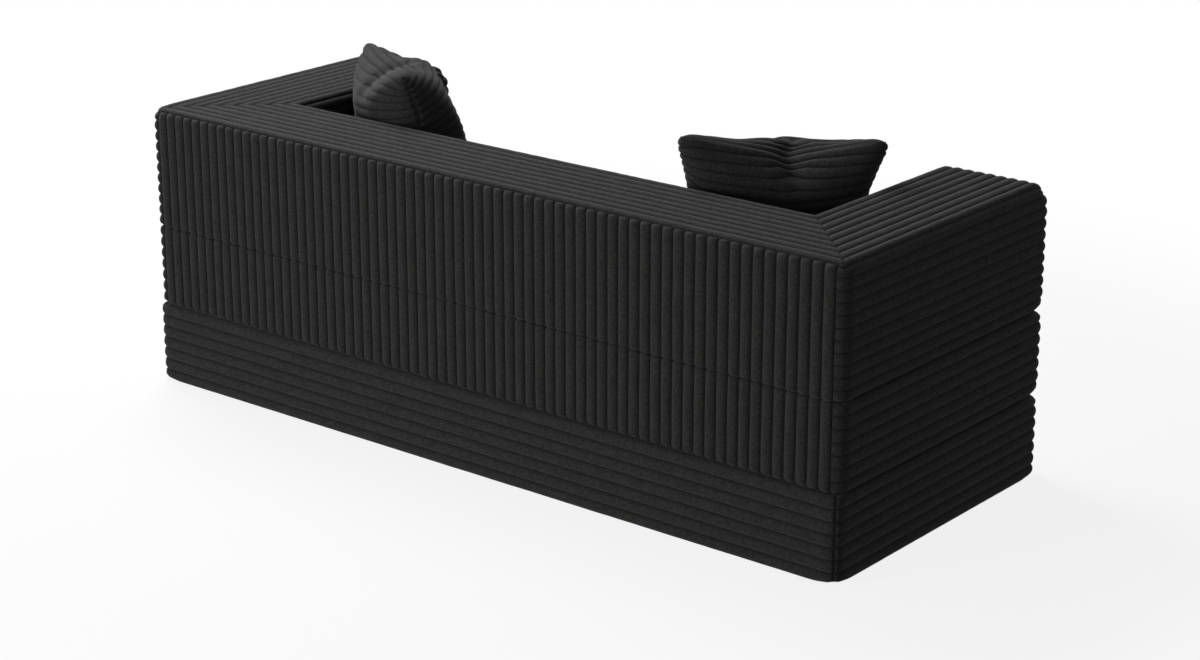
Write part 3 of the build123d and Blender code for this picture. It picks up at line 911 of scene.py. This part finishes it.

# %% [markdown]
# ## The sewn hinges
# Each hinge is a woven tape, sewn to both blocks along the line about which they fold. It lies deep in the
# groove between them.

# %% Hinge webbing
hinge_height = 7 * mm
hinge_thickness = 1.2 * mm
hinge_bulge = 2 * mm  # how far the tape bows into the groove
front_hinge_depth, rear_hinge_depth = 12 * mm, 2.5 * mm
hinge_columns = 160
hinge_rows = 10  # an even number, so that no row lies in the bend


def hinge_webbing(name, node, face_y, depth, outward):
    """A tape in the groove between two blocks: depth below the face, and outward is the way that it faces."""
    low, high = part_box(node)
    middle_z = (low[2] + high[2]) / 2
    x = np.linspace(low[0], high[0], hinge_columns)
    across = np.linspace(-1, 1, hinge_rows)[:, None] * np.ones_like(x)
    y = face_y - outward * (depth + hinge_bulge * (1 - across**2))
    points = np.stack([x + 0 * across, y, middle_z + across * hinge_height / 2], axis=-1)
    index = np.arange(hinge_rows * hinge_columns).reshape(hinge_rows, hinge_columns)
    mesh = bpy.data.meshes.new(name)
    mesh.from_pydata(points.reshape(-1, 3).tolist(), [], grid_faces(index, "rear" if outward > 0 else "front"))
    mesh.materials.append(finishes["hinge_tape"])
    mesh.shade_smooth()
    tape = in_scene(name, mesh)
    tape.modifiers.new("thickness", "SOLIDIFY").thickness = hinge_thickness
    bake(tape)
    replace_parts(tape, node)
    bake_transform(tape)


hinge_webbing("front_hinge_webbing", "front_hinge_tape", base_block.low[1], front_hinge_depth, -1)
hinge_webbing("rear_hinge_webbing", "rear_hinge_tape", seat_block.high[1], rear_hinge_depth, 1)

# %% [markdown]
# ## Zip teeth
# A coil of hundreds of small teeth is what Geometry Nodes are for. One tree walks along a line, puts a peg
# across it at every step and moves every second peg to the other side, as the two halves of a closed zip mesh.

# %% Geometry Nodes tree for the zip teeth
tooth_spacing = 3 * mm  # real ones are closer, and drawn coarser so that they show
tooth_length = 4.2 * mm
tooth_radius = 1.0 * mm
tooth_shift = 0.6  # how far apart the two rows of teeth lie, as a share of a tooth's length
tooth_height = 0.5 * mm  # over the bottom of the tape
zip_stop = 12 * mm  # the bare tape before the first tooth


def tooth_tree():
    tree, given = new_tree("zip_teeth", {
        "Spacing": "Float", "Length": "Float", "Radius": "Float", "Material": "Material"})
    curve = add(tree, "GeometryNodeMeshToCurve", {"Mesh": given["Mesh"]}).outputs["Curve"]
    upright = add(tree, "GeometryNodeSetCurveNormal", {"Curve": curve}, mode="Z_UP").outputs["Curve"]
    spots = add(tree, "GeometryNodeCurveToPoints", {"Curve": upright, "Length": given["Spacing"]}, mode="LENGTH")
    peg = add(tree, "GeometryNodeMeshCylinder", {
        "Vertices": 8, "Radius": given["Radius"], "Depth": given["Length"]}).outputs["Mesh"]
    lying = add(tree, "GeometryNodeTransform", {
        "Geometry": peg, "Rotation": (0.0, math.pi / 2, 0.0)}).outputs["Geometry"]
    pegs = add(tree, "GeometryNodeInstanceOnPoints", {
        "Points": spots.outputs["Points"], "Instance": lying, "Rotation": spots.outputs["Rotation"]})
    number = add(tree, "GeometryNodeInputIndex").outputs["Index"]
    odd = add(tree, "ShaderNodeMath", {0: number, 1: 2.0}, operation="MODULO").outputs["Value"]
    side = add(tree, "ShaderNodeMath", {0: odd, 1: 0.5}, operation="SUBTRACT").outputs["Value"]
    step = add(tree, "ShaderNodeMath", {0: side, 1: given["Length"]}, operation="MULTIPLY").outputs["Value"]
    shift = add(tree, "ShaderNodeMath", {0: step, 1: tooth_shift}, operation="MULTIPLY").outputs["Value"]
    aside = add(tree, "ShaderNodeCombineXYZ", {"X": shift}).outputs["Vector"]
    meshed = add(tree, "GeometryNodeTranslateInstances", {
        "Instances": pegs.outputs["Instances"], "Translation": aside, "Local Space": True})
    return finish_tree(tree, meshed.outputs["Instances"], given["Material"])


teeth = tooth_tree()


def zip_chain(name, points, body):
    """The closed teeth along a line of points."""
    mesh = bpy.data.meshes.new(name)
    mesh.from_pydata([tuple(point) for point in points], [(i, i + 1) for i in range(len(points) - 1)], [])
    chain = in_scene(name, mesh)
    use_tree(chain, teeth, {
        "Spacing": tooth_spacing, "Length": tooth_length, "Radius": tooth_radius, "Material": nylon})
    bake(chain)
    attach(chain, body)
    return chain


for body in ("base", "seat", "surround"):
    low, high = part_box(body + "_zip")
    slider_low, slider_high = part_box(body + "_zip_pull")
    middle_y, tooth_z = (slider_low[1] + slider_high[1]) / 2, low[2] + tooth_height
    ends = [(x, middle_y, tooth_z) for x in (low[0] + zip_stop, slider_high[0])]
    zip_chain(body + "_zip_teeth", ends, body)

# %% [markdown]
# ## The throw pillows
# A throw pillow is two flat squares of corduroy, sewn together all round and blown up by its filling. That is
# also how it is made here: the two squares are joined at their edges, and a cloth simulation inflates them, so
# the edges draw in between the corners and pucker as real ones do. The result is read back as two smooth
# sheets of points, and the ribs are raised on them afterwards, at the corduroy's own scale.

# %% Inflating a pillow
pillow_half = 240 * mm  # half the cut square
pillow_corner = 0.13  # the rounding of the square's corners, as a share of its half
pillow_cells = 48
pillow_frames = 28
pillow_pressure = 6.0
lens_depth = 40 * mm  # how far each square bulges before it is inflated
iron_passes = 4
side_draw_in, level_draw_in = 0.08, 0.035  # how far edges are drawn in besides, as shares of the half
pillow_full_half = 227 * mm  # half the finished pillow's width, corner to corner, at the groove bottoms
pillow_full_thickness = 203 * mm
pillow_half_size = np.array([pillow_full_half, pillow_full_thickness / 2, pillow_full_half])
lower_straightness = 0.65  # the lower half stands on the seat and is filled out more
lower_blend = 0.3  # how far from the middle the two halves blend, as a share of the half
pillow_roundness = 0.75  # under 1 fills the pillow out towards its edges
level_ribs = 0.4  # how far the ribs between the level seams are kept level
measured_rows = 4  # for each row of the cloth, when the ribs are spaced


def pillow_sheets():
    """The front and back of an inflated pillow as two grids of points, upright, with the front at -Y."""
    count = pillow_cells + 1
    u, v = np.meshgrid(np.linspace(-1, 1, count), np.linspace(-1, 1, count), indexing="xy")
    square = np.stack([u, v], axis=-1)
    centres = np.sign(square) * (1 - pillow_corner)
    beyond = np.all(np.abs(square) > 1 - pillow_corner, axis=-1, keepdims=True)
    x, z = np.moveaxis(np.where(beyond, centres + squares_to_circles(square - centres), square), -1, 0) * pillow_half
    lens = lens_depth * (1 - u**2) * (1 - v**2)
    front = np.stack([x, -lens, z], axis=-1)
    back = np.stack([x, lens, z], axis=-1)
    index = np.arange(count * count).reshape(count, count)
    rim = rim_of((count, count))
    back_index = np.where(rim, index, 0)
    back_index[~rim] = count * count + np.arange((count - 2) ** 2)
    points = np.concatenate([front.reshape(-1, 3), back[~rim]])
    mesh = bpy.data.meshes.new("pillow_cloth")
    mesh.from_pydata(points.tolist(), [], grid_faces(index, "front") + grid_faces(back_index, "rear"))
    cloth = in_scene("pillow_cloth", mesh)
    modifier = cloth.modifiers.new("cloth", "CLOTH")
    settings = modifier.settings
    settings.quality, settings.mass = 8, 0.3
    settings.tension_stiffness = settings.compression_stiffness = 20
    settings.shear_stiffness, settings.bending_stiffness = 8, 4
    settings.use_pressure, settings.uniform_pressure_force = True, pillow_pressure
    settings.effector_weights.gravity = 0
    modifier.point_cache.frame_end = pillow_frames
    for number in range(1, pillow_frames + 1):
        bpy.context.scene.frame_set(number)
    evaluated = cloth.evaluated_get(bpy.context.evaluated_depsgraph_get())
    inflated = np.array([vertex.co for vertex in evaluated.data.vertices])
    bpy.data.objects.remove(cloth)
    bpy.context.scene.frame_set(1)
    return inflated[index], inflated[back_index]


def plumped(sheet, extent, straightened):
    """The sheet at the finished pillow's size, ironed and filled out. straightened is the share of the seams'
    own draw-in that is taken out again."""
    ironed = sheet.copy()
    for axis in (0, 1) * iron_passes:
        rows = np.moveaxis(ironed, axis, 0)
        rows[1:-1] = (rows[:-2] + 2 * rows[1:-1] + rows[2:]) / 4
    x, y, z = np.moveaxis(2 * ironed / extent, -1, 0)
    share = straightened + (lower_straightness - straightened) * (1 - smooth_step(z, -lower_blend, lower_blend))
    x = x + share * (np.where(x > 0, x / x[:, -1:], -x / x[:, :1]) - x)
    z = z + share * (np.where(z > 0, z / z[-1:], -z / z[:1]) - z)
    y = np.sign(y) * np.abs(y) ** pillow_roundness
    drawn_x = x * (1 - side_draw_in * np.clip(1 - z**2, 0, 1) * np.abs(x) ** 3)
    drawn_z = z * (1 - level_draw_in * np.clip(1 - x**2, 0, 1) * np.abs(z) ** 3)
    return np.stack([drawn_x, y, drawn_z], axis=-1) * pillow_half_size


def smooth_resample(grid, places, axis):
    """Points between a grid's rows or columns, on smooth Catmull-Rom curves. Places run from 0 to 1."""
    grid = np.moveaxis(grid, axis, 0)
    steps = places * (len(grid) - 1)
    first = np.clip(steps.astype(int), 0, len(grid) - 2)
    t = (steps - first)[:, None, None]
    padded = np.concatenate([2 * grid[:1] - grid[1:2], grid, 2 * grid[-1:] - grid[-2:-1]])
    a, b, c, d = (padded[first + i] for i in range(4))
    smooth = b + t / 2 * (c - a + t * (2 * a - 5 * b + 4 * c - d + t * (3 * (b - c) + d - a)))
    return np.moveaxis(smooth, 0, axis)


def evenly_ribbed(sheet, shares, columns):
    """Points over a sheet. Ribs follow the level seams beside them and lie nearly level between them, so a seam
    that dips crowds the ribs next to it."""
    fine = smooth_resample(smooth_resample(sheet, np.linspace(0, 1, measured_rows * len(sheet)), 0), columns, 1)
    steps = np.linalg.norm(np.diff(fine, axis=0), axis=-1)
    reached = np.concatenate([np.zeros((1, len(columns))), np.cumsum(steps, axis=0)])
    reached /= reached[-1]
    climbed = np.maximum.accumulate(fine[..., 2], axis=0)
    level = np.mean([np.interp(shares, *pair) for pair in zip(reached.T, climbed.T)], axis=0)
    levelled = level_ribs * (1 - np.abs(2 * shares - 1) ** 4)
    points = np.empty((len(shares), len(columns), 3))
    for column, places in enumerate(reached.T):
        held = shares + levelled * (np.interp(level, climbed[:, column], places) - shares)
        for axis in range(3):
            points[:, column, axis] = np.interp(held, places, fine[:, column, axis])
    return points


inflated_sheets = pillow_sheets()
extent = np.ptp(np.concatenate([sheet.reshape(-1, 3) for sheet in inflated_sheets]), axis=0)
print("inflated pillow", (extent / mm).round().tolist(), "mm")

# %% [markdown]
# ## Laying the pillows down
# The CAD model says where each pillow's middle is. The named turns say how it leans in its corner, and each
# has sunk a little and flattened where it rests. The right one was struck from above, which left a pucker under
# its top edge, towards which the ribs sag. The left one's near corner is pushed in, as when a pillow is thrown.

# %% Pillows in place
pillow_wale = 23 * mm
pillow_wale_depth = 4.5 * mm
pillow_seam = 9 * mm
pillow_seam_hold = 0.8  # the ribs are only pinched where they run into the side seams
pillow_step = 7 * mm
fill_inset = 16 * mm
pillow_clearance = 1 * mm
# for each pillow: degrees about Z, of lean and of tilt, shares of width and thickness, how far the draw-in of
# its seams is taken out, and how far it is off its CAD piece's middle
pillow_turns = {"right_pillow": (40, -24.5, -2.2), "left_pillow": (-33.5, -17.5, 3.2)}
pillow_fullness = {"right_pillow": (1.03, 1.02), "left_pillow": (0.99, 1.09)}
pillow_straightness = {"right_pillow": 0.2, "left_pillow": 0.45}
pillow_sinks = {"right_pillow": (22 * mm, 6 * mm, -24 * mm), "left_pillow": (3 * mm, 23 * mm, -20 * mm)}
pucker_x = 14 * mm
pucker_sag, pucker_reach = 5 * mm, 70 * mm
crease_share, crease_reach = 0.04, 10 * mm
# shares of the pillow's half height: where the top edge holds, and where the sag and the crease set in
edge_hold, sag_onset, crease_onset = (0.82, 1.0), (0.1, 0.75), (0.5, 0.8)
corner_push, push_reach = 14 * mm, 55 * mm
free_below, free_above = 20 * mm, 150 * mm  # from the arms' top, between which a pillow comes free of the blocks


def puckered(points):
    """A pucker under the top edge: the ribs sag towards it and a short crease runs through it."""
    aside = np.abs(points[..., 0] - pucker_x)
    height = points[..., 2] / pillow_full_half
    below_edge = 1 - smooth_step(height, *edge_hold)
    sag = np.exp(-aside / pucker_reach) * smooth_step(height, *sag_onset) * below_edge
    crease = np.exp(-(aside / crease_reach) ** 2) * smooth_step(height, *crease_onset) * below_edge
    moved = points.copy()
    moved[..., 2] -= pucker_sag * sag
    moved[..., 1] *= 1 - crease_share * crease
    return moved


def pushed_in(points):
    """The near top corner pushed in a little."""
    away = np.hypot(points[..., 0] + pillow_full_half, points[..., 2] - pillow_full_half)
    push = corner_push * np.exp(-(away / push_reach) ** 2)
    moved = points.copy()
    moved[..., 0] += push
    moved[..., 2] -= push
    return moved


def kept_off(points, clearance):
    """Points held clear of the seat, the arms and the back, so a pillow is flat where it rests on them."""
    held = points.copy()
    beside = 1 - smooth_step(points[..., 2], arm_high[2] - free_below, arm_high[2] + free_above)
    limit_x = inner_x - wale_depth - clearance
    limit_y = inner_y - wale_depth - clearance
    held[..., 0] += (np.clip(points[..., 0], -limit_x, limit_x) - points[..., 0]) * beside
    held[..., 1] += (np.minimum(points[..., 1], limit_y) - points[..., 1]) * beside
    held[..., 2] = np.maximum(points[..., 2], seat_high[2] + clearance)
    return held


def lay_pillow(name, seed, creased):
    """A pillow of two ribbed panels, a filling and a zip, in its place. creased gives it its own dent."""
    spin, lean, tilt = (math.radians(angle) for angle in pillow_turns[name])
    turn = Euler((0, 0, spin)).to_matrix() @ Euler((lean, 0, 0)).to_matrix() @ Euler((0, tilt, 0)).to_matrix()
    low, high = np.array([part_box(f"{name}_{side}") for side in ("front", "back")]).transpose(1, 0, 2)
    centre = (low.min(axis=0) + high.max(axis=0)) / 2 + pillow_sinks[name]
    width, thickness = pillow_fullness[name]

    def placed(points, clearance):
        return kept_off(creased(points) * (width, thickness, width) @ np.array(turn).T + centre, clearance)

    sheets = [plumped(sheet, extent, pillow_straightness[name]) for sheet in inflated_sheets]
    middle_column = sheets[0][:, len(sheets[0]) // 2]
    height = np.linalg.norm(np.diff(middle_column, axis=0), axis=1).sum()
    count = round(height / pillow_wale)
    counted = across_ribs(count)
    columns = np.linspace(0, 1, round(2 * pillow_half / pillow_step) + 1)
    from_side = np.minimum(columns, 1 - columns) * 2 * pillow_half
    from_top = np.minimum(counted, count - counted) * pillow_wale
    pinched = pillow_seam_hold + (1 - pillow_seam_hold) * rise(from_side, pillow_seam)
    ease = np.minimum(pinched[None], rise(from_top[:, None], pillow_seam))
    fill_panels = []
    for side, sheet in zip(("front", "back"), sheets):
        points = placed(evenly_ribbed(sheet, counted / count, columns), pillow_clearance + pillow_wale_depth)
        piece_name = f"{name}_{side}_corduroy"
        mesh = panels_mesh(piece_name, [Panel(points, counted, ease, centre)])
        piece = ribbed_piece(piece_name, mesh, pillow_corduroy, seed, pillow_wale_depth)
        stand_in(piece, f"{name}_{side}", name)
        fill_points = placed(sheet * (1 - fill_inset / pillow_half_size), fill_inset + pillow_wale_depth)
        fill_panels.append(Panel(fill_points, np.zeros(len(sheet)), np.zeros(sheet.shape[:2]), centre))
    fill_name = name + "_fibre"
    fill = ribbed_piece(fill_name, panels_mesh(fill_name, fill_panels), fibre, seed)
    stand_in(fill, name + "_fill", name)
    third = len(sheets[0]) // 3
    bottom_seam = placed(sheets[0][0, third:-third], 2 * pillow_clearance)
    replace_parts(zip_chain(name + "_zip_teeth", bottom_seam, name), name + "_zip")


lay_pillow("right_pillow", 11, puckered)
lay_pillow("left_pillow", 21, pushed_in)

# %% [markdown]
# ## Floor and light
# The photograph is a cut-out on white. The floor looks white to the camera, and keeps a soft shadow, because
# only a part of its brightness is its own. Large soft lamps stand behind the sofa, on the far side from the
# camera and above it, so the tops are lightest, the rear is in between and the near side is dark.

# %% Floor
floor_size = 40.0
shadow_reach = (1.4, 2.6)  # metres from the middle of the floor, between which the shadow's share fades to none
own_light = 0.85  # of the floor's brightness near the sofa
floor_material, floor_tree, floor_output = new_material("white_floor")
path = add(floor_tree, "ShaderNodeLightPath").outputs
tone = add(floor_tree, "ShaderNodeMix", {
    "Factor": path["Is Camera Ray"], 6: linear("383838"), 7: linear("ffffff")}, data_type="RGBA")
plain = add(floor_tree, "ShaderNodeBsdfDiffuse", {"Color": tone.outputs[2]})
glow = add(floor_tree, "ShaderNodeEmission", {"Color": linear("ffffff"), "Strength": 1.0})
seen_directly = add(floor_tree, "ShaderNodeMath", {
    0: path["Is Camera Ray"], 1: path["Is Glossy Ray"]}, operation="MAXIMUM").outputs["Value"]
seen = add(floor_tree, "ShaderNodeMath", {
    0: seen_directly, 1: path["Is Transmission Ray"]}, operation="MAXIMUM").outputs["Value"]
floor_place = add(floor_tree, "ShaderNodeTexCoord").outputs["Object"]
distance = add(floor_tree, "ShaderNodeVectorMath", {0: floor_place}, operation="LENGTH").outputs["Value"]
own = add(floor_tree, "ShaderNodeMapRange", {
    "Value": distance, "From Min": shadow_reach[0], "From Max": shadow_reach[1], "To Min": own_light, "To Max": 1.0,
}, interpolation_type="SMOOTHSTEP").outputs["Result"]
share = add(floor_tree, "ShaderNodeMath", {0: seen, 1: own}, operation="MULTIPLY").outputs["Value"]
mixed = add(floor_tree, "ShaderNodeMixShader", {0: share, 1: plain.outputs[0], 2: glow.outputs[0]})
floor_tree.links.new(mixed.outputs[0], floor_output.inputs["Surface"])
floor_mesh = bpy.data.meshes.new("floor")
half_floor = floor_size / 2
floor_mesh.from_pydata(
    [(-half_floor, -half_floor, 0), (half_floor, -half_floor, 0), (half_floor, half_floor, 0),
     (-half_floor, half_floor, 0)], [], [(0, 1, 2, 3)])
floor_mesh.materials.append(floor_material)
in_scene("floor", floor_mesh)

# %% World and lamps
room_light = 0.12  # of the white that the camera sees round the sofa
world = bpy.data.worlds.new("studio")
bpy.context.scene.world = world
world.use_nodes = True
world.node_tree.nodes.clear()
surroundings = world.node_tree
world_path = add(surroundings, "ShaderNodeLightPath").outputs
world_seen = add(surroundings, "ShaderNodeMath", {
    0: world_path["Is Camera Ray"], 1: world_path["Is Glossy Ray"]}, operation="MAXIMUM").outputs["Value"]
world_level = add(surroundings, "ShaderNodeMapRange", {
    "Value": world_seen, "From Min": 0.0, "From Max": 1.0, "To Min": room_light, "To Max": 1.0}).outputs["Result"]
world_light = add(surroundings, "ShaderNodeBackground", {"Color": linear("ffffff"), "Strength": world_level})
add(surroundings, "ShaderNodeOutputWorld", {"Surface": world_light.outputs["Background"]})


def soft_lamp(name, place, aim, size, power):
    """A square lamp that faces a point."""
    data = bpy.data.lights.new(name, "AREA")
    data.size, data.energy = size, power
    lamp = in_scene(name, data)
    lamp.location = place
    lamp.rotation_euler = (Vector(aim) - Vector(place)).to_track_quat("-Z", "Y").to_euler()


soft_lamp("rear_lamp", (1.6, 5.2, 1.2), (0.1, 0.3, 0.85), 2.0, 168)
soft_lamp("top_lamp", (2.3, -0.7, 3.3), (0.3, 0, 0.5), 2.0, 126)

# %% View transform
bpy.context.scene.view_settings.view_transform = "Standard"
